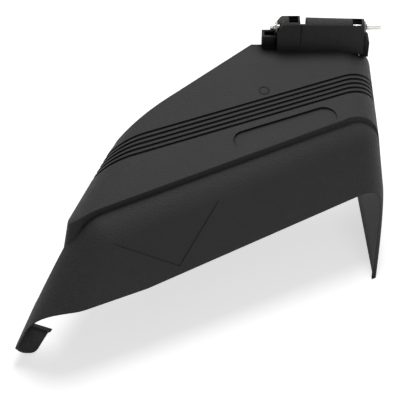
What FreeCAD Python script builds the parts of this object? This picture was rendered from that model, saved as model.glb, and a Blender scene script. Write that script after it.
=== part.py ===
import FreeCAD, Part
import math
import os

from FreeCAD import Vector, Rotation, Placement

# Discharge deflector for a mower deck: a thin moulded hood that swings on a hinge rod.
# Millimetres, +Z up. The origin is on the rod's axis, above the middle of the hinge.
# X runs along the hinge, and -Y points away from the deck, the way the clippings leave.

# Moulding
WALL = 3.2
EDGE_R = 40.0
FLOOR_Z = -200.0

# The hood's flat faces: heading of the outward normal in plan, its rise, and the
# distance of the face from the origin along that normal
TOP_FACE = (-90.0, 83.2, -21.8)
SKIRT_FACE = (-65.0, 30.0, 107.5)
RIGHT_FACE = (0.0, 8.0, 60.5)
RIGHT_LOW_FACE = (3.0, -10.0, 91.5)
LEFT_FACE = (158.0, 10.0, 158.0)
LEFT_SIDE = (158.0, 0.0, 168.0)
LEFT_LOW_FACE = (158.0, 13.0, 147.0)
LEFT_CURL_FACE = (158.0, -35.0, 261.0)
DECK_FACE = (131.0, 0.0, 47.0)
BACK_REACH = -5.0
DECK_LIP = 16.0

# Raised upper tier, which ends in a step above the skirt
STEP_FACE = (-66.0, 20.0, 105.8)
STEP_CORNER_R = 12.0
STEP_DROP = 6.0
STEP_OVERLAP = 12.0

# Grooves across the upper tier
GROOVES = 5
GROOVE_HEADING = -69.1
GROOVE_REACH = 77.4
GROOVE_PITCH = 6.4
GROOVE_WIDTH = 3.2
GROOVE_DEPTH = 1.6
GROOVE_LOW_Z = -100.0

# Finger recess below the grooves
RECESS_MID = (-41.0, -139.0)
RECESS_HEADING = 21.5
RECESS_LENGTH = 127.0
RECESS_WIDTH = 30.0
RECESS_DEPTH = 2.2
RECESS_RUN_OUT = 0.2

# Moulder's ring mark, plain
RING_AT = (-64.0, -80.0)
RING_R = 6.2
RING_LINE = 0.9
RING_RISE = 0.5

# Plain sunk panel on the skirt: corners along the skirt's level line and up its slope
PANEL = ((-345.0, -116.0), (-200.0, -114.0), (-194.0, -128.0),
         (-265.0, -195.0), (-334.0, -145.0), (-348.0, -131.0))
PANEL_DEPTH = 0.5

# Mouth between the legs
RIM_Z = -113.2
RIM_TILT = 4.6
RIM_LEVEL_X = -197.0
RIM_R_RIGHT = 22.0
RIM_R_LEFT = 60.0
LEG_RETURN = 5.0
LEVEL_FACE = (0.0, 90.0, RIM_Z + RIM_LEVEL_X * math.tan(math.radians(RIM_TILT)))
TOE_FRONT_Y = -345.0
TOE_R = 14.0
LEG_SETBACK = 194.0
LEG_BACK = -TOE_FRONT_Y - LEG_SETBACK
MOUTH_BACK_Y = -60.0
HEEL_DROP = 50.0
HEEL_REACH = 128.0

# Hinge housing
HOUSE_LEFT = -46.8
HOUSE_RIGHT = 57.2
HOUSE_WALL = 3.0
HOUSE_FOOT_Y = -17.3
HOUSE_FOOT_Z = -25.5
ROOF_R_LEFT = 11.6
ROOF_R_RIGHT = 9.8
BLOCK_R = 13.4
BLOCK_LENGTH = 27.6
BLOCK_END = HOUSE_LEFT + BLOCK_LENGTH
RAMP_RUN = 9.0
HUMP_R = 6.0
NOTCH_LENGTH = 7.0
ROOF_START = BLOCK_END + NOTCH_LENGTH
WINDOW_LENGTH = 11.0
WINDOW_DEPTH = 12.0
WINDOW_FRONT_Y = -6.5
EAR_LENGTH = 18.0
EAR_TOP_Z = -7.0
EAR_DEPTH = 14.0
EAR_FRONT_Y = -10.0
EAR_POCKET = 12.0
SHOULDER_LENGTH = 8.0
SHOULDER_DEPTH = 16.0
SHOULDER_TOP_Z = -11.0
SHOULDER_R = 6.0

# Hinge rod and the parts on it
ROD_R = 3.175
ROD_LENGTH = 133.0
ROD_CHAMFER = 0.6
COLLAR_R = 4.8
COLLAR_T = 2.2
STUB_LENGTH = 4.6
BORE_CLEARANCE = 0.15
WASHER_R = 6.8
WASHER_T = 1.5
WASHER_CLEARANCE = 0.1
SEAT_GAP = 0.05
WASHER_LEFT_X = HOUSE_LEFT - SEAT_GAP - WASHER_T
COLLAR_RIGHT = WASHER_LEFT_X - SEAT_GAP
NUT_R = 6.6
NUT_T = 0.6
NUT_RIM = 1.6
NUT_DISH = 1.4
NUT_TEETH = 6
NUT_SLOT = 1.2
NUT_LEFT = HOUSE_RIGHT + WASHER_T + 2 * SEAT_GAP

# Torsion spring
WIRE_R = 1.2
WIRE_SIDES = 6
HALF_TURNS = 33
CHORDS = 12
BEND_STEPS = 3
COIL_GAP = 0.15
COIL_CLEARANCE = 0.7
SPRING_LEFT = -6.0
BEND_R = 3.0
LONG_LEG = 47.0
LONG_HOOK = 8.0
SHORT_LEG = 12.0
SHORT_HOOK = 8.0

BIG = 1600.0
X_AXIS = Vector(1, 0, 0)
Z_AXIS = Vector(0, 0, 1)


def heading(plan, rise=0.0):
    """Unit vector from its angle in plan and its rise, in degrees."""
    a = math.radians(plan)
    b = math.radians(rise)
    return Vector(math.cos(a) * math.cos(b), math.sin(a) * math.cos(b), math.sin(b))


def slab(normal, low, high):
    """Everything between two parallel planes, given by their distances from the origin."""
    box = Part.makeBox(BIG, BIG, high - low, Vector(-BIG / 2, -BIG / 2, 0))
    box.Placement = Placement(normal * low, Rotation(Z_AXIS, normal))
    return box


def behind(face, inset=0.0):
    """Half-space on the inner side of a face, moved inward by inset."""
    normal = heading(face[0], face[1])
    return slab(normal, face[2] - inset - BIG, face[2] - inset)


def beyond(normal, reach):
    return slab(normal, reach, reach + BIG)


def edges_between(solid, face_a, face_b):
    """Edges of solid that lie on both faces."""
    found = []
    for edge in solid.Edges:
        mid = edge.valueAt((edge.FirstParameter + edge.LastParameter) / 2)
        gaps = [abs(mid.dot(heading(f[0], f[1])) - f[2]) for f in (face_a, face_b)]
        if max(gaps) < 0.01:
            found.append(edge)
    return found


def hood(left, inset, drop=0.0, lowest=FLOOR_Z, back=BACK_REACH):
    """The hood's full body with one of its left faces, every face and rounding moved
    inward by inset, and the top and the skirt by drop as well."""
    faces = {"top": (TOP_FACE, drop), "skirt": (SKIRT_FACE, drop), "right": (RIGHT_FACE, 0.0),
             "left": (left, 0.0), "deck": (DECK_FACE, 0.0)}
    body = Part.makeBox(BIG, BIG, BIG, Vector(-BIG / 2, back - BIG, lowest))
    moved = {}
    for name, (face, extra) in faces.items():
        moved[name] = (face[0], face[1], face[2] - inset - extra)
        body = body.common(behind(moved[name]))
    body = body.removeSplitter()
    wide = []
    for a, b in (("top", "skirt"), ("top", "right"), ("top", "left"),
                 ("skirt", "right"), ("skirt", "left")):
        wide += edges_between(body, moved[a], moved[b])
    body = body.makeFillet(EDGE_R - inset, wide)
    body = body.common(behind(RIGHT_LOW_FACE, inset))
    return body.common(behind(LEFT_CURL_FACE, inset))


def tiered(inset, lowest=FLOOR_Z, back=BACK_REACH):
    """Upper tier on the deck side of the step, lower tier on the mouth side."""
    step = (STEP_FACE[0], STEP_FACE[1], STEP_FACE[2] - inset)
    side = (LEFT_SIDE[0], LEFT_SIDE[1], LEFT_SIDE[2] - inset)
    cap = behind(step).common(behind(side))
    cap = cap.makeFillet(STEP_CORNER_R - inset, edges_between(cap, step, side))
    upper = hood(LEFT_FACE, inset, 0.0, lowest, back).common(cap)
    # The left wall of the upper tier ends level with the rim
    upper = upper.cut(Part.makeBox(BIG / 2, BIG, BIG / 2, Vector(RIM_LEVEL_X - BIG / 2, -BIG / 2,
                                                                 LEVEL_FACE[2] - BIG / 2)))
    lower = hood(LEFT_LOW_FACE, inset, STEP_DROP, lowest, back)
    front = lower.common(beyond(heading(STEP_FACE[0], STEP_FACE[1]), STEP_FACE[2] - STEP_OVERLAP + inset))
    leg = lower.common(beyond(heading(STEP_FACE[0]), LEG_BACK + inset))
    return upper.fuse([front, leg]).removeSplitter()


def grooves():
    """Cutters for the parallel grooves: thin slabs kept to the hood's outer skin."""
    normal = heading(GROOVE_HEADING)
    skin = hood(LEFT_FACE, -2.0).cut(hood(LEFT_FACE, GROOVE_DEPTH, 0.0, FLOOR_Z - 5, BACK_REACH + 5))
    skin = skin.common(slab(Z_AXIS, GROOVE_LOW_Z, BIG / 2))
    cutters = []
    for i in range(GROOVES):
        middle = GROOVE_REACH + (i - (GROOVES - 1) / 2) * GROOVE_PITCH
        cutters.append(skin.common(slab(normal, middle - GROOVE_WIDTH / 2, middle + GROOVE_WIDTH / 2)))
    return cutters


def recess():
    """Long finger recess, deepest along its upper side and running out at its lower side."""
    half = RECESS_WIDTH / 2
    run = RECESS_LENGTH / 2 - half
    outline = Part.Wire([
        Part.makeLine(Vector(-run, half, 0), Vector(run, half, 0)),
        Part.Arc(Vector(run, half, 0), Vector(run + half, 0, 0), Vector(run, -half, 0)).toShape(),
        Part.makeLine(Vector(run, -half, 0), Vector(-run, -half, 0)),
        Part.Arc(Vector(-run, -half, 0), Vector(-run - half, 0, 0), Vector(-run, half, 0)).toShape()])
    prism = Part.Face(outline).extrude(Vector(0, 0, BIG))
    prism.Placement = Placement(Vector(RECESS_MID[0], RECESS_MID[1], -BIG / 2),
                                Rotation(Z_AXIS, RECESS_HEADING))
    top_normal = heading(TOP_FACE[0], TOP_FACE[1])
    across = heading(RECESS_HEADING + 90)
    tilt = math.degrees(math.atan(RECESS_DEPTH / RECESS_WIDTH))
    axis = heading(RECESS_HEADING)
    floor_normal = Rotation(axis, -tilt).multVec(top_normal)
    mid = Vector(RECESS_MID[0], RECESS_MID[1], 0)
    low = mid - across * half
    low.z = (TOP_FACE[2] + RECESS_RUN_OUT - low.dot(top_normal)) / top_normal.z
    return prism.common(beyond(floor_normal, low.dot(floor_normal)))


def ring_mark():
    top_normal = heading(TOP_FACE[0], TOP_FACE[1])
    at = Vector(RING_AT[0], RING_AT[1], 0)
    at.z = (TOP_FACE[2] - at.dot(top_normal)) / top_normal.z
    base = at - top_normal * WALL / 2
    height = WALL / 2 + RING_RISE
    outer = Part.makeCylinder(RING_R, height, base, top_normal)
    return outer.cut(Part.makeCylinder(RING_R - RING_LINE, height, base, top_normal))


def panel():
    normal = heading(SKIRT_FACE[0], SKIRT_FACE[1])
    level = heading(SKIRT_FACE[0] + 90)
    up = normal.cross(level)
    floor = normal * (SKIRT_FACE[2] - STEP_DROP - PANEL_DEPTH)
    corners = [floor + level * u + up * v for u, v in PANEL]
    return Part.Face(Part.makePolygon(corners + corners[:1])).extrude(normal * 5.0)


def rim_cutter(face, leg, x0, x1, radius):
    """What is below one stretch of the rim and inside one leg, rounded where they meet."""
    inner = (leg[0], leg[1], leg[2] - LEG_RETURN)
    block = Part.makeBox(x1 - x0, BIG / 2, BIG, Vector(x0, MOUTH_BACK_Y - BIG / 2, FLOOR_Z - 10))
    block = block.common(behind(face)).common(behind(inner))
    return block.makeFillet(radius, edges_between(block, inner, face))


def mouth():
    """What is cut away below the rim: the rim rises to the right leg and is level at the left."""
    tilted = heading(180.0, 90.0 - RIM_TILT)
    rise = (180.0, 90.0 - RIM_TILT, RIM_Z * tilted.z)
    right = rim_cutter(rise, RIGHT_LOW_FACE, RIM_LEVEL_X, BIG / 2, RIM_R_RIGHT)
    left = rim_cutter(LEVEL_FACE, LEFT_LOW_FACE, -BIG / 2, RIM_LEVEL_X + 1.0, RIM_R_LEFT)
    left = left.common(behind(LEFT_CURL_FACE, LEG_RETURN))
    toe = Part.makeBox(BIG / 2, BIG / 2, BIG / 2,
                       Vector(RIM_LEVEL_X - BIG / 2, TOE_FRONT_Y - BIG / 2, LEVEL_FACE[2] - BIG / 2))
    tip = Part.makeBox(BIG / 2, TOE_R + 1, TOE_R + 1, Vector(RIM_LEVEL_X - BIG / 2, TOE_FRONT_Y - 1, FLOOR_Z - 1))
    round_toe = Part.makeCylinder(TOE_R, BIG, Vector(-BIG, TOE_FRONT_Y + TOE_R, FLOOR_Z + TOE_R), X_AXIS)
    return [right, left, toe, tip.cut(round_toe)]


def cover_profile(x, radius, thin, low):
    """Section of the hinge cover at x: sloping front, round crown, upright back."""
    r = radius - thin
    foot_y = HOUSE_FOOT_Y + thin
    c = math.cos(math.radians(45))
    foot = Vector(x, foot_y, HOUSE_FOOT_Z)
    front = Vector(x, -r * c, r * c)
    crown = Vector(x, 0, r)
    back = Vector(x, r, 0)
    down = Vector(x, r, low)
    heel = Vector(x, foot_y, low)
    return Part.Wire([
        Part.makeLine(heel, foot), Part.makeLine(foot, front),
        Part.Arc(front, Vector(x, -r * math.sin(math.radians(22.5)), r * math.cos(math.radians(22.5))),
                 crown).toShape(),
        Part.Arc(crown, Vector(x, r * c, r * c), back).toShape(),
        Part.makeLine(back, down), Part.makeLine(down, heel)])


def cover(x0, x1, r0, r1, thin=0.0, low=HOUSE_FOOT_Z - 3.0):
    ends = [cover_profile(x0, r0, thin, low), cover_profile(x1, r1, thin, low)]
    return Part.makeLoft(ends, True, True)


def housing_outer():
    """Hinge block with its hump, the low sill at the notch, the roof, the ear and the shoulder."""
    block = cover(HOUSE_LEFT, BLOCK_END, BLOCK_R, BLOCK_R)
    ramp = Part.makePolygon([Vector(HOUSE_LEFT - 1, 0, -4.0), Vector(HOUSE_LEFT + RAMP_RUN, 0, BLOCK_R + 1),
                             Vector(HOUSE_LEFT - 1, 0, BLOCK_R + 1), Vector(HOUSE_LEFT - 1, 0, -4.0)])
    ramp.translate(Vector(0, -40, 0))
    block = block.cut(Part.Face(ramp).extrude(Vector(0, 80, 0)))
    round_box = Part.makeBox(HUMP_R, 80, HUMP_R, Vector(BLOCK_END - HUMP_R, -40, BLOCK_R - HUMP_R))
    round_off = round_box.cut(Part.makeCylinder(HUMP_R, 80, Vector(BLOCK_END - HUMP_R, -40, BLOCK_R - HUMP_R),
                                                Vector(0, 1, 0)))
    block = block.cut(round_off)
    sill = cover(BLOCK_END, ROOF_START, ROOF_R_LEFT, ROOF_R_LEFT)
    roof = cover(ROOF_START, HOUSE_RIGHT, ROOF_R_LEFT, ROOF_R_RIGHT)
    ear = Part.makeBox(EAR_LENGTH + 1, EAR_DEPTH, EAR_TOP_Z - HOUSE_FOOT_Z + 6,
                       Vector(HOUSE_LEFT - EAR_LENGTH, EAR_FRONT_Y, HOUSE_FOOT_Z - 6))
    shoulder = Part.makeBox(SHOULDER_LENGTH, SHOULDER_DEPTH, SHOULDER_TOP_Z - HOUSE_FOOT_Z + 12,
                            Vector(HOUSE_RIGHT - 0.5, EAR_FRONT_Y, HOUSE_FOOT_Z - 12))
    tip = [e for e in shoulder.Edges if abs(e.CenterOfMass.z - SHOULDER_TOP_Z) < 0.01
           and e.CenterOfMass.x > HOUSE_RIGHT + SHOULDER_LENGTH - 1]
    shoulder = shoulder.makeFillet(SHOULDER_R, tip)
    return block.fuse([sill, roof, ear, shoulder])


def housing_hollow():
    """Room for the spring and the deck's bracket, open below, with its windows and notch."""
    low = HOUSE_FOOT_Z - 30.0
    hollows = [
        cover(HOUSE_LEFT + 2 * HOUSE_WALL, BLOCK_END - HOUSE_WALL, BLOCK_R - RAMP_RUN / 2, BLOCK_R,
              HOUSE_WALL, low),
        cover(BLOCK_END, ROOF_START, ROOF_R_LEFT, ROOF_R_LEFT, HOUSE_WALL, low),
        cover(ROOF_START, HOUSE_RIGHT - HOUSE_WALL, ROOF_R_LEFT, ROOF_R_RIGHT, HOUSE_WALL, low),
        Part.makeBox(EAR_LENGTH - 2 * HOUSE_WALL, EAR_DEPTH - 2 * HOUSE_WALL, 30.0,
                     Vector(HOUSE_LEFT - EAR_LENGTH + HOUSE_WALL, EAR_FRONT_Y + HOUSE_WALL,
                            EAR_TOP_Z - EAR_POCKET))]
    window_z = ROOF_R_RIGHT - HOUSE_WALL - 6.0
    left = Part.makeBox(WINDOW_LENGTH, WINDOW_DEPTH, 30.0,
                        Vector(BLOCK_END - HOUSE_WALL - WINDOW_LENGTH, WINDOW_FRONT_Y, window_z))
    right = Part.makeBox(WINDOW_LENGTH, WINDOW_DEPTH, 30.0,
                         Vector(HOUSE_RIGHT - HOUSE_WALL - WINDOW_LENGTH, WINDOW_FRONT_Y, window_z))
    notch = Part.makeBox(NOTCH_LENGTH, 60.0, 90.0, Vector(BLOCK_END, WINDOW_FRONT_Y, -60.0))
    return hollows + [left, right, notch]


def rod_bore():
    r = ROD_R + BORE_CLEARANCE
    return Part.makeCylinder(r, 3 * ROD_LENGTH, Vector(-1.5 * ROD_LENGTH, 0, 0), X_AXIS)


def deflector_shell():
    outer = tiered(0.0).cut(grooves() + [recess(), panel()])
    shell = outer.cut(tiered(WALL, FLOOR_Z - 5, BACK_REACH + 5))
    # The edge along the deck is only a short lip
    lip_low = TOP_FACE[2] - DECK_LIP
    top_normal = heading(TOP_FACE[0], TOP_FACE[1])
    deck_normal = heading(DECK_FACE[0])
    below_lip = slab(top_normal, lip_low - BIG, lip_low).common(
        beyond(deck_normal, DECK_FACE[2] - WALL - 1.0))
    heel = beyond(heading(90.0, -HEEL_DROP), HEEL_REACH)
    shell = shell.cut([below_lip, heel] + mouth())
    shell = shell.fuse(housing_outer()).cut(housing_hollow() + [rod_bore()])
    return shell.fuse(ring_mark()).removeSplitter()


def hinge_rod():
    """Steel rod with a collar near its left end, which stops it at the block."""
    start = COLLAR_RIGHT - COLLAR_T - STUB_LENGTH
    rod = Part.makeCylinder(ROD_R, ROD_LENGTH, Vector(start, 0, 0), X_AXIS)
    collar = Part.makeCylinder(COLLAR_R, COLLAR_T, Vector(COLLAR_RIGHT - COLLAR_T, 0, 0), X_AXIS)
    rod = rod.fuse(collar).removeSplitter()
    ends = [e for e in rod.Edges if e.Length > ROD_R and min(abs(e.CenterOfMass.x - start),
            abs(e.CenterOfMass.x - start - ROD_LENGTH)) < 0.01]
    return rod.makeChamfer(ROD_CHAMFER, ends)


def washer(x):
    at = Vector(x, 0, 0)
    ring = Part.makeCylinder(WASHER_R, WASHER_T, at, X_AXIS)
    return ring.cut(Part.makeCylinder(ROD_R + WASHER_CLEARANCE, WASHER_T, at, X_AXIS))


def push_nut():
    """Spring-steel star nut: a rim, and teeth that slope towards the rod's free end."""
    x = NUT_LEFT
    profile = Part.makePolygon([Vector(x, 0, NUT_R), Vector(x, 0, NUT_R - NUT_RIM),
                                Vector(x + NUT_DISH, 0, ROD_R), Vector(x + NUT_DISH + NUT_T, 0, ROD_R),
                                Vector(x + NUT_T, 0, NUT_R - NUT_RIM), Vector(x + NUT_T, 0, NUT_R),
                                Vector(x, 0, NUT_R)])
    nut = Part.Face(profile).revolve(Vector(0, 0, 0), X_AXIS, 360)
    slots = []
    for i in range(NUT_TEETH):
        slot = Part.makeBox(20, NUT_SLOT, NUT_R - NUT_RIM, Vector(x - 5, -NUT_SLOT / 2, 0))
        slot.rotate(Vector(0, 0, 0), X_AXIS, 360 * (i + 0.5) / NUT_TEETH)
        slots.append(slot)
    return nut.cut(slots)


def spring_path():
    """Middle line of the wire from hook to hook, as points with the way outward at each."""
    mean = ROD_R + COIL_CLEARANCE + WIRE_R
    pitch = 2 * WIRE_R + COIL_GAP
    steps = HALF_TURNS * CHORDS // 2
    coil = []
    for i in range(steps + 1):
        turn = i / CHORDS
        a = 2 * math.pi * turn
        out = Vector(0, -math.cos(a), math.sin(a))
        coil.append((out * mean + Vector(SPRING_LEFT + pitch * turn, 0, 0), out))
    (start, out), (end, end_out) = coil[0], coil[-1]
    return spring_leg(start, out, SHORT_LEG, SHORT_HOOK)[::-1] + coil \
        + spring_leg(end, end_out, LONG_LEG, LONG_HOOK)


def spring_leg(top, out, length, hook):
    """Points down a straight leg from the coil and round its bend into a hook towards -X."""
    points = []
    for i in range(BEND_STEPS + 1):
        a = math.pi / 2 * i / BEND_STEPS
        points.append((Vector(top.x - BEND_R * (1 - math.cos(a)), top.y,
                              -length + BEND_R * (1 - math.sin(a))), out))
    points.append((Vector(top.x - hook, top.y, -length), out))
    return points


def torsion_spring():
    """Close-wound spring round the rod, with a long hooked leg and a short cranked one."""
    path = spring_path()
    sections = []
    for i, (point, out) in enumerate(path):
        along = path[min(i + 1, len(path) - 1)][0] - path[max(i - 1, 0)][0]
        along.normalize()
        across = along.cross(out).normalize()
        up = across.cross(along)
        ring = []
        for k in range(WIRE_SIDES):
            a = 2 * math.pi * k / WIRE_SIDES
            ring.append(point + up * (WIRE_R * math.cos(a)) + across * (WIRE_R * math.sin(a)))
        sections.append(Part.makePolygon(ring + ring[:1]))
    return Part.makeLoft(sections, True, True)


def main():
    os.makedirs("parts", exist_ok=True)
    parts = {
        "deflector_shell": deflector_shell(),
        "hinge_rod": hinge_rod(),
        "washer_left": washer(WASHER_LEFT_X),
        "washer_right": washer(HOUSE_RIGHT + SEAT_GAP),
        "push_nut": push_nut(),
        "torsion_spring": torsion_spring(),
    }
    for name, shape in parts.items():
        print(name, shape.ShapeType, len(shape.Solids), shape.isValid(), round(shape.Volume))
        shape.exportStep(f"parts/{name}.step")


if __name__ == "__main__":
    main()
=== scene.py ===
import math

import bpy
from bpy.props import FloatProperty, FloatVectorProperty, PointerProperty
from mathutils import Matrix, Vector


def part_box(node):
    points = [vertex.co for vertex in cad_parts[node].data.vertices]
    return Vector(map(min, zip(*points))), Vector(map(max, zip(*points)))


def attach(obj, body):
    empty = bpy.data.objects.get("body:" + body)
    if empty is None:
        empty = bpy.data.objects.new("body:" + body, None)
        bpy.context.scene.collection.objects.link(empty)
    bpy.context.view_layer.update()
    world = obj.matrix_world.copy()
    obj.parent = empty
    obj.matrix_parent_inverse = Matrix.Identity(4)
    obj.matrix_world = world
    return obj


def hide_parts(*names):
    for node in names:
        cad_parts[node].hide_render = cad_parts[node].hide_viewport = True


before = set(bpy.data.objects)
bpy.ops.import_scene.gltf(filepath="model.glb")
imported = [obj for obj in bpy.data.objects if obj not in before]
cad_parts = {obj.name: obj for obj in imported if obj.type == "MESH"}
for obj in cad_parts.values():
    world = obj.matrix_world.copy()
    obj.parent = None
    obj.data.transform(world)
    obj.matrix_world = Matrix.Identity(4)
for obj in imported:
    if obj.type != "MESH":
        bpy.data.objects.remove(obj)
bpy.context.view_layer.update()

bl_info = {
    "name": "Mower discharge deflector",
    "version": (1, 0, 0),
    "blender": (4, 5, 0),
    "location": "View3D > Sidebar > Deflector",
    "description": "Finishes and stage for a mower's hinged discharge deflector",
    "category": "Object",
}

# Stage, in metres, with the camera's lens and sensor in millimetres
FLOOR_Z = -0.2
FLOOR_GAP = 0.0002
FLOOR_HALF = 8.0
FLOOR_ROUGHNESS = 0.9
FLOOR_SPECULAR = 0.1
WHITE = (1.0, 1.0, 1.0, 1.0)
CAMERA_AT = (-0.1392, -1.2782, 0.9846)
CAMERA_TILT = math.radians(45)
CAMERA_LENS = 120.0
CAMERA_SENSOR = 36.0
KEY_AT = (0.0, 0.7, 1.45)
KEY_WIDTH = 1.0
FRONT_AT = (0.7, -1.5, 0.5)
FRONT_WIDTH = 0.9
LIGHTS_AIM_AT = (-0.14, -0.17, -0.1)

# Spring mesh
STEPS_A_TURN = 24
STEPS_A_BEND = 6
WIRE_RESOLUTION = 3

# Rays that the softened normals and the painted-shade mask (ambient occlusion painted into the
# colour) take
ROUNDING_SAMPLES = 6
PAINTED_SHADE_SAMPLES = 8

# Sockets of a Mix node that mixes colours
MIX_FACTOR, MIX_FIRST, MIX_SECOND, MIX_COLOUR = 0, 6, 7, 2


def maths(tree, operation, first, second, clamp=False):
    """Math node on two terms, each a number or (node, output)."""
    made = tree.nodes.new("ShaderNodeMath")
    made.operation = operation
    made.use_clamp = clamp
    for i, term in enumerate((first, second)):
        if isinstance(term, tuple):
            tree.links.new(term[0].outputs[term[1]], made.inputs[i])
        else:
            made.inputs[i].default_value = term
    return made


def blend(tree, factor, first, second):
    """Colour mix whose factor is (node, output) and whose ends are colours or (node, output)."""
    made = tree.nodes.new("ShaderNodeMix")
    made.data_type = "RGBA"
    tree.links.new(factor[0].outputs[factor[1]], made.inputs[MIX_FACTOR])
    for i, end in ((MIX_FIRST, first), (MIX_SECOND, second)):
        if isinstance(end[0], bpy.types.Node):
            tree.links.new(end[0].outputs[end[1]], made.inputs[i])
        else:
            made.inputs[i].default_value = (*end, 1.0)
    return made


def new_group(name, inputs, outputs):
    """Empty shader group with number inputs, given with their defaults, and number outputs."""
    tree = bpy.data.node_groups.new(name, "ShaderNodeTree")
    for label, default in inputs:
        socket = tree.interface.new_socket(label, in_out="INPUT", socket_type="NodeSocketFloat")
        socket.default_value = default
    for label in outputs:
        tree.interface.new_socket(label, in_out="OUTPUT", socket_type="NodeSocketFloat")
    return tree, tree.nodes.new("NodeGroupInput"), tree.nodes.new("NodeGroupOutput")


def placed_noise(tree, scale, detail, stretch=1.0):
    """Noise in the object's own metres: above 1, stretch makes it finer along X, below 1 longer."""
    place = tree.nodes.new("ShaderNodeTexCoord")
    mapped = tree.nodes.new("ShaderNodeMapping")
    drawn = tree.nodes.new("ShaderNodeCombineXYZ")
    drawn.inputs[1].default_value = 1.0
    drawn.inputs[2].default_value = 1.0
    if isinstance(stretch, tuple):
        tree.links.new(stretch[0].outputs[stretch[1]], drawn.inputs[0])
    else:
        drawn.inputs[0].default_value = stretch
    tree.links.new(place.outputs["Object"], mapped.inputs["Vector"])
    tree.links.new(drawn.outputs[0], mapped.inputs["Scale"])
    noise = tree.nodes.new("ShaderNodeTexNoise")
    noise.inputs["Detail"].default_value = detail
    tree.links.new(mapped.outputs[0], noise.inputs["Vector"])
    if isinstance(scale, tuple):
        tree.links.new(scale[0].outputs[scale[1]], noise.inputs["Scale"])
    else:
        noise.inputs["Scale"].default_value = scale
    return noise


def ramp(tree, source, low, high):
    """Map Range node from low..high to 0..1."""
    made = tree.nodes.new("ShaderNodeMapRange")
    tree.links.new(source[0].outputs[source[1]], made.inputs["Value"])
    made.inputs["From Min"].default_value = low
    made.inputs["From Max"].default_value = high
    return made


def grain_group():
    """Moulding or drawing grain: a height for the bump and a mask for the roughness."""
    tree, into, out = new_group("Surface grain", [("Scale", 900.0), ("Stretch", 1.0)],
                                ["Height", "Mask"])
    fine = placed_noise(tree, (into, "Scale"), detail=3.0, stretch=(into, "Stretch"))
    height = ramp(tree, (fine, 0), low=0.3, high=0.7)
    broad = placed_noise(tree, scale=14.0, detail=4.0)
    mask = ramp(tree, (broad, 0), low=0.35, high=0.65)
    tree.links.new(height.outputs[0], out.inputs["Height"])
    tree.links.new(mask.outputs[0], out.inputs["Mask"])
    return tree


def wear_group():
    """Rubbed edges, broken up by noise, and a few light scuffs on the flats."""
    tree, into, out = new_group("Edge wear", [("Edges", 0.5), ("Scuffs", 0.2)], ["Mask"])
    shape = tree.nodes.new("ShaderNodeNewGeometry")
    edge = ramp(tree, (shape, "Pointiness"), low=0.53, high=0.62)
    patchy = placed_noise(tree, scale=120.0, detail=5.0)
    patchy = ramp(tree, (patchy, 0), low=0.42, high=0.62)
    edges = maths(tree, "MULTIPLY", (edge, 0), (patchy, 0))
    edges = maths(tree, "MULTIPLY", (edges, 0), (into, "Edges"))
    lines = placed_noise(tree, scale=260.0, detail=6.0, stretch=0.06)
    lines = ramp(tree, (lines, 0), low=0.66, high=0.72)
    spots = placed_noise(tree, scale=9.0, detail=2.0)
    spots = ramp(tree, (spots, 0), low=0.5, high=0.66)
    scuffs = maths(tree, "MULTIPLY", (lines, 0), (spots, 0))
    scuffs = maths(tree, "MULTIPLY", (scuffs, 0), (into, "Scuffs"))
    total = maths(tree, "ADD", (edges, 0), (scuffs, 0), clamp=True)
    tree.links.new(total.outputs[0], out.inputs["Mask"])
    return tree


def painted_shade_group():
    """Painted shade from ambient occlusion: 1 deep in a groove or a corner, where the colour is
    darkened as if in shade, 0 in the open.
    """
    tree, into, out = new_group("Painted shade", [("Reach", 0.005)], ["Mask"])
    shut = tree.nodes.new("ShaderNodeAmbientOcclusion")
    shut.samples = PAINTED_SHADE_SAMPLES
    tree.links.new(into.outputs["Reach"], shut.inputs["Distance"])
    # The occlusion value becomes the mask that paints shade into the colour
    mask = ramp(tree, (shut, "AO"), low=0.97, high=0.7)
    tree.links.new(mask.outputs[0], out.inputs["Mask"])
    return tree


def background_ray(tree):
    """1 for the rays that see the background, straight or in a gloss, and 0 for the rest."""
    ray = tree.nodes.new("ShaderNodeLightPath")
    seen = maths(tree, "ADD", (ray, "Is Camera Ray"), (ray, "Is Glossy Ray"))
    return maths(tree, "ADD", (seen, 0), (ray, "Is Transmission Ray"), clamp=True)


def shared(name, builder):
    """The named shader group, built the first time it is asked for."""
    return bpy.data.node_groups.get(name) or builder()


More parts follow.
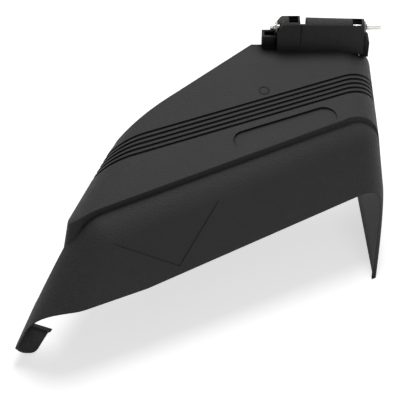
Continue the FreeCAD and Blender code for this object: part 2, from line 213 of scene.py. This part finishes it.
def finish_material(name, colour, worn, roughness, metallic=0.0, grain=900.0, stretch=1.0,
                    depth=0.0001, edges=0.5, scuffs=0.2, vary=0.12, rounding=0.0,
                    reach=0.004, shade=0.6, uneven_by=0.05, specular=0.5):
    """Material with grain, a slightly patchy tone, painted shade in the hollows, worn edges and
    rounded creases.

    Depth and rounding are in metres, and reach is how far the ambient occlusion looks for the
    hollows that get painted shade. Vary is the share by which the tone changes, shade the share
    by which the painted shade darkens a hollow, and uneven_by what the roughness gains or loses.
    """
    made = bpy.data.materials.new(name)
    made.use_nodes = True
    tree = made.node_tree
    shader = tree.nodes["Principled BSDF"]
    shader.inputs["Metallic"].default_value = metallic
    shader.inputs["Specular IOR Level"].default_value = specular
    grains = tree.nodes.new("ShaderNodeGroup")
    grains.node_tree = shared("Surface grain", grain_group)
    grains.inputs["Scale"].default_value = grain
    grains.inputs["Stretch"].default_value = stretch
    wear = tree.nodes.new("ShaderNodeGroup")
    wear.node_tree = shared("Edge wear", wear_group)
    wear.inputs["Edges"].default_value = edges
    wear.inputs["Scuffs"].default_value = scuffs
    darker = tuple(c * (1 - vary) for c in colour)
    lighter = tuple(min(1.0, c * (1 + vary)) for c in colour)
    tone = blend(tree, (grains, "Mask"), darker, lighter)
    # Painted shade: ambient occlusion darkens the colour in grooves and corners
    painted_shade = tree.nodes.new("ShaderNodeGroup")
    painted_shade.node_tree = shared("Painted shade", painted_shade_group)
    painted_shade.inputs["Reach"].default_value = reach
    # Colour of the painted shade in the hollows
    painted_shade_colour = tuple(c * (1 - shade) for c in colour)
    shaded = blend(tree, (painted_shade, "Mask"), (tone, MIX_COLOUR), painted_shade_colour)
    colours = blend(tree, (wear, "Mask"), (shaded, MIX_COLOUR), worn)
    tree.links.new(colours.outputs[MIX_COLOUR], shader.inputs["Base Color"])
    uneven = ramp(tree, (grains, "Mask"), low=0.0, high=1.0)
    uneven.inputs["To Min"].default_value = roughness - uneven_by
    uneven.inputs["To Max"].default_value = roughness + uneven_by
    tree.links.new(uneven.outputs[0], shader.inputs["Roughness"])
    bump = tree.nodes.new("ShaderNodeBump")
    bump.inputs["Strength"].default_value = 1.0
    bump.inputs["Distance"].default_value = depth
    tree.links.new(grains.outputs["Height"], bump.inputs["Height"])
    if rounding:
        soft = tree.nodes.new("ShaderNodeBevel")
        soft.samples = ROUNDING_SAMPLES
        soft.inputs["Radius"].default_value = rounding
        tree.links.new(soft.outputs[0], bump.inputs["Normal"])
    tree.links.new(bump.outputs[0], shader.inputs["Normal"])
    return made


def dress(node, material):
    """Gives a frame node its finish."""
    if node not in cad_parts:
        raise RuntimeError(f"the frame has no node {node}")
    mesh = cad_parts[node].data
    mesh.materials.clear()
    mesh.materials.append(material)


class MouldingSettings(bpy.types.PropertyGroup):
    colour: FloatVectorProperty(name="Colour", description="Colour of the moulding", size=3,
                                subtype="COLOR", default=(0.056, 0.056, 0.057), min=0, max=1)
    roughness: FloatProperty(name="Roughness", description="How matt the moulding is",
                             subtype="FACTOR", default=0.52, min=0.1, max=1)
    grain: FloatProperty(name="Grain depth", description="Depth of the moulded grain",
                         unit="LENGTH", default=0.0005, min=0, max=0.002, precision=5)
    rounding: FloatProperty(name="Edge rounding", description="Radius that the edges show",
                            unit="LENGTH", default=0.0016, min=0, max=0.003, precision=5)


class HardwareSettings(bpy.types.PropertyGroup):
    rod: FloatVectorProperty(name="Rod", description="Colour of the plated rod", size=3,
                             subtype="COLOR", default=(0.74, 0.73, 0.69), min=0, max=1)
    spring: FloatVectorProperty(name="Spring", description="Colour of the spring", size=3,
                                subtype="COLOR", default=(0.022, 0.022, 0.024), min=0, max=1)
    washer: FloatVectorProperty(name="Washers", description="Colour of the nylon", size=3,
                                subtype="COLOR", default=(0.80, 0.80, 0.76), min=0, max=1)
    nut: FloatVectorProperty(name="Push nut", description="Colour of the push nut", size=3,
                             subtype="COLOR", default=(0.16, 0.16, 0.17), min=0, max=1)


class SpringSettings(bpy.types.PropertyGroup):
    wire_radius: FloatProperty(name="Wire radius", description="Radius of the spring's wire",
                               unit="LENGTH", default=0.0012, precision=5)
    mean_radius: FloatProperty(name="Coil radius", description="From the axis to the wire's middle",
                               unit="LENGTH", default=0.005075, precision=6)
    turns: FloatProperty(name="Turns", description="Turns of the coil", default=16.5)
    pitch: FloatProperty(name="Pitch", description="Length that one turn takes",
                         unit="LENGTH", default=0.00255, precision=5)
    bend: FloatProperty(name="Bend", description="Bend radius at a hook", unit="LENGTH",
                        default=0.003, precision=4)
    short_leg: FloatProperty(name="Short leg", description="Length of the short leg",
                             unit="LENGTH", default=0.012, precision=4)
    short_hook: FloatProperty(name="Short hook", description="Length of the short leg's hook",
                              unit="LENGTH", default=0.008, precision=4)
    long_hook: FloatProperty(name="Long hook", description="Length of the long leg's hook",
                             unit="LENGTH", default=0.008, precision=4)


class StageSettings(bpy.types.PropertyGroup):
    floor: FloatVectorProperty(name="Floor", description="Colour of the floor", size=3,
                               subtype="COLOR", default=(0.86, 0.86, 0.86), min=0, max=1)
    glow: FloatProperty(name="Floor lift", description="Extra light that views and glosses see",
                        default=0.62, min=0, max=1)
    key: FloatProperty(name="Key light", description="Power of the light above", unit="POWER",
                       default=19.5, min=0, max=200)
    front: FloatProperty(name="Front light", description="Power of the low light in front",
                         unit="POWER", default=3.5, min=0, max=200)
    sky: FloatProperty(name="Sky", description="Strength of the even light all round",
                       default=0.13, min=0, max=2)


class DEFLECTOR_OT_moulding(bpy.types.Operator):
    """Matt black plastic with a fine grain on the hood"""
    bl_idname = "deflector.moulding"
    bl_label = "Finish the moulding"

    def execute(self, context):
        chosen = context.scene.deflector_moulding
        # Reach and shade below paint shade into the grooves, the step's riser and the corners
        dress("deflector_shell", finish_material(
            "Moulding", tuple(chosen.colour), (0.08, 0.08, 0.08), chosen.roughness,
            grain=560.0, depth=chosen.grain, edges=0.3, scuffs=0.15, vary=0.03,
            rounding=chosen.rounding, reach=0.022, shade=0.98, uneven_by=0.015,
            specular=0.12))
        return {"FINISHED"}


class DEFLECTOR_OT_rod(bpy.types.Operator):
    """Bright plated steel with fine turning marks on the rod"""
    bl_idname = "deflector.rod"
    bl_label = "Finish the rod"

    def execute(self, context):
        dress("hinge_rod", finish_material(
            "Rod", tuple(context.scene.deflector_hardware.rod), (0.5, 0.48, 0.44), 0.3, 1.0,
            grain=260.0, stretch=12.0, depth=0.00003, edges=0.6, scuffs=0.3, vary=0.06))
        return {"FINISHED"}


def leg_points(top, length, hook, bend):
    """Points down a straight leg and round its bend into a hook towards -X."""
    points = []
    for i in range(STEPS_A_BEND + 1):
        a = math.pi / 2 * i / STEPS_A_BEND
        points.append((top[0] - bend * (1 - math.cos(a)), top[1],
                       -length + bend * (1 - math.sin(a))))
    return points + [(top[0] - hook, top[1], -length)]


def spring_mesh(size):
    """Smooth round wire on the same middle line as the frame's spring."""
    low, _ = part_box("torsion_spring")
    start = low[0] + size.short_hook
    points = []
    for i in range(int(size.turns * STEPS_A_TURN) + 1):
        turn = i / STEPS_A_TURN
        a = 2 * math.pi * turn
        points.append((start + size.pitch * turn, -size.mean_radius * math.cos(a),
                       size.mean_radius * math.sin(a)))
    short = leg_points(points[0], size.short_leg, size.short_hook, size.bend)
    long = leg_points(points[-1], -low[2] - size.wire_radius, size.long_hook, size.bend)
    line = short[::-1] + points + long
    curve = bpy.data.curves.new("spring_line", "CURVE")
    curve.dimensions = "3D"
    curve.bevel_depth = size.wire_radius
    curve.bevel_resolution = WIRE_RESOLUTION
    curve.use_fill_caps = True
    spline = curve.splines.new("POLY")
    spline.points.add(len(line) - 1)
    for point, place in zip(spline.points, line):
        point.co = (*place, 1.0)
    drawn = bpy.data.objects.new("spring_line", curve)
    mesh = bpy.data.meshes.new_from_object(drawn)
    bpy.data.objects.remove(drawn)
    mesh.shade_smooth()
    return mesh


class DEFLECTOR_OT_spring(bpy.types.Operator):
    """Smooth black coated wire, rubbed brighter on the crests of the coils"""
    bl_idname = "deflector.spring"
    bl_label = "Wind the spring"

    def execute(self, context):
        mesh = spring_mesh(context.scene.deflector_spring)
        wire = bpy.data.objects.new("spring_wire", mesh)
        context.scene.collection.objects.link(wire)
        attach(wire, "deflector")
        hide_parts("torsion_spring")
        mesh.materials.append(finish_material(
            "Spring", tuple(context.scene.deflector_hardware.spring), (0.12, 0.12, 0.12), 0.38,
            grain=1500.0, depth=0.00003, edges=0.35, scuffs=0.3, vary=0.15))
        return {"FINISHED"}


class DEFLECTOR_OT_washers(bpy.types.Operator):
    """Natural nylon on both washers"""
    bl_idname = "deflector.washers"
    bl_label = "Finish the washers"

    def execute(self, context):
        nylon = finish_material(
            "Nylon", tuple(context.scene.deflector_hardware.washer), (0.62, 0.6, 0.55), 0.42,
            grain=700.0, depth=0.00004, edges=0.4, scuffs=0.3, vary=0.04)
        for node in ("washer_left", "washer_right"):
            dress(node, nylon)
        return {"FINISHED"}


class DEFLECTOR_OT_nut(bpy.types.Operator):
    """Dark spring steel on the push nut"""
    bl_idname = "deflector.nut"
    bl_label = "Finish the push nut"

    def execute(self, context):
        dress("push_nut", finish_material(
            "Push nut", tuple(context.scene.deflector_hardware.nut), (0.4, 0.39, 0.37), 0.4, 1.0,
            grain=1200.0, depth=0.00003, edges=0.8, scuffs=0.4, vary=0.1))
        return {"FINISHED"}


def area_light(name, at, size, power):
    """Round soft light, turned towards the middle of the hood."""
    data = bpy.data.lights.new(name, "AREA")
    data.shape = "DISK"
    data.size = size
    data.energy = power
    lamp = bpy.data.objects.new(name, data)
    bpy.context.scene.collection.objects.link(lamp)
    lamp.location = at
    aim = [LIGHTS_AIM_AT[i] - at[i] for i in range(3)]
    lamp.rotation_euler = (math.atan2(math.hypot(aim[0], aim[1]), -aim[2]), 0.0,
                           math.atan2(aim[1], aim[0]) - math.pi / 2)


def floor_material(chosen):
    """Pale floor that looks a little brighter than it lights, and keeps the shadow."""
    made = bpy.data.materials.new("Floor")
    made.use_nodes = True
    tree = made.node_tree
    shader = tree.nodes["Principled BSDF"]
    shader.inputs["Base Color"].default_value = (*chosen.floor, 1.0)
    shader.inputs["Roughness"].default_value = FLOOR_ROUGHNESS
    shader.inputs["Specular IOR Level"].default_value = FLOOR_SPECULAR
    shader.inputs["Emission Color"].default_value = WHITE
    lift = maths(tree, "MULTIPLY", (background_ray(tree), 0), chosen.glow)
    tree.links.new(lift.outputs[0], shader.inputs["Emission Strength"])
    return made


class DEFLECTOR_OT_stage(bpy.types.Operator):
    """Pale floor, soft lights, even sky and the camera"""
    bl_idname = "deflector.stage"
    bl_label = "Set the stage"

    def execute(self, context):
        chosen = context.scene.deflector_stage
        mesh = bpy.data.meshes.new("floor")
        corners = ((-1, -1), (1, -1), (1, 1), (-1, 1))
        mesh.from_pydata([(FLOOR_HALF * x, FLOOR_HALF * y, 0) for x, y in corners],
                         [], [(0, 1, 2, 3)])
        floor = bpy.data.objects.new("floor", mesh)
        context.scene.collection.objects.link(floor)
        floor.location = (0, 0, FLOOR_Z - FLOOR_GAP)
        mesh.materials.append(floor_material(chosen))
        area_light("key", KEY_AT, KEY_WIDTH, chosen.key)
        area_light("front", FRONT_AT, FRONT_WIDTH, chosen.front)
        world = bpy.data.worlds.new("sky")
        world.use_nodes = True
        sky = world.node_tree
        light = sky.nodes["Background"]
        light.inputs["Color"].default_value = WHITE
        far_floor = chosen.glow + chosen.sky * chosen.floor[0]
        seen = maths(sky, "MULTIPLY", (background_ray(sky), 0), far_floor - chosen.sky)
        total = maths(sky, "ADD", (seen, 0), chosen.sky)
        sky.links.new(total.outputs[0], light.inputs["Strength"])
        context.scene.world = world
        data = bpy.data.cameras.new("camera")
        data.lens = CAMERA_LENS
        data.sensor_width = CAMERA_SENSOR
        camera = bpy.data.objects.new("camera", data)
        context.scene.collection.objects.link(camera)
        camera.location = CAMERA_AT
        camera.rotation_euler = (CAMERA_TILT, 0.0, 0.0)
        context.scene.camera = camera
        context.scene.view_settings.view_transform = "Standard"
        return {"FINISHED"}


SETTINGS = {"deflector_moulding": MouldingSettings, "deflector_hardware": HardwareSettings,
            "deflector_spring": SpringSettings, "deflector_stage": StageSettings}
OPERATORS = (DEFLECTOR_OT_moulding, DEFLECTOR_OT_rod, DEFLECTOR_OT_spring,
             DEFLECTOR_OT_washers, DEFLECTOR_OT_nut, DEFLECTOR_OT_stage)


class DEFLECTOR_PT_panel(bpy.types.Panel):
    """Sizes, colours and steps of the deflector"""
    bl_label = "Deflector"
    bl_idname = "DEFLECTOR_PT_panel"
    bl_space_type = "VIEW_3D"
    bl_region_type = "UI"
    bl_category = "Deflector"

    def draw(self, context):
        for name, group in SETTINGS.items():
            chosen = getattr(context.scene, name)
            box = self.layout.box()
            for label in group.__annotations__:
                box.prop(chosen, label)
        for operator in OPERATORS:
            self.layout.operator(operator.bl_idname)


CLASSES = (*SETTINGS.values(), *OPERATORS, DEFLECTOR_PT_panel)


def register():
    for made in CLASSES:
        bpy.utils.register_class(made)
    for name, group in SETTINGS.items():
        setattr(bpy.types.Scene, name, PointerProperty(type=group))


def unregister():
    for name in SETTINGS:
        delattr(bpy.types.Scene, name)
    for made in reversed(CLASSES):
        bpy.utils.unregister_class(made)


def main():
    register()
    bpy.ops.deflector.moulding()
    bpy.ops.deflector.rod()
    bpy.ops.deflector.spring()
    bpy.ops.deflector.washers()
    bpy.ops.deflector.nut()
    bpy.ops.deflector.stage()


if __name__ == "__main__":
    main()
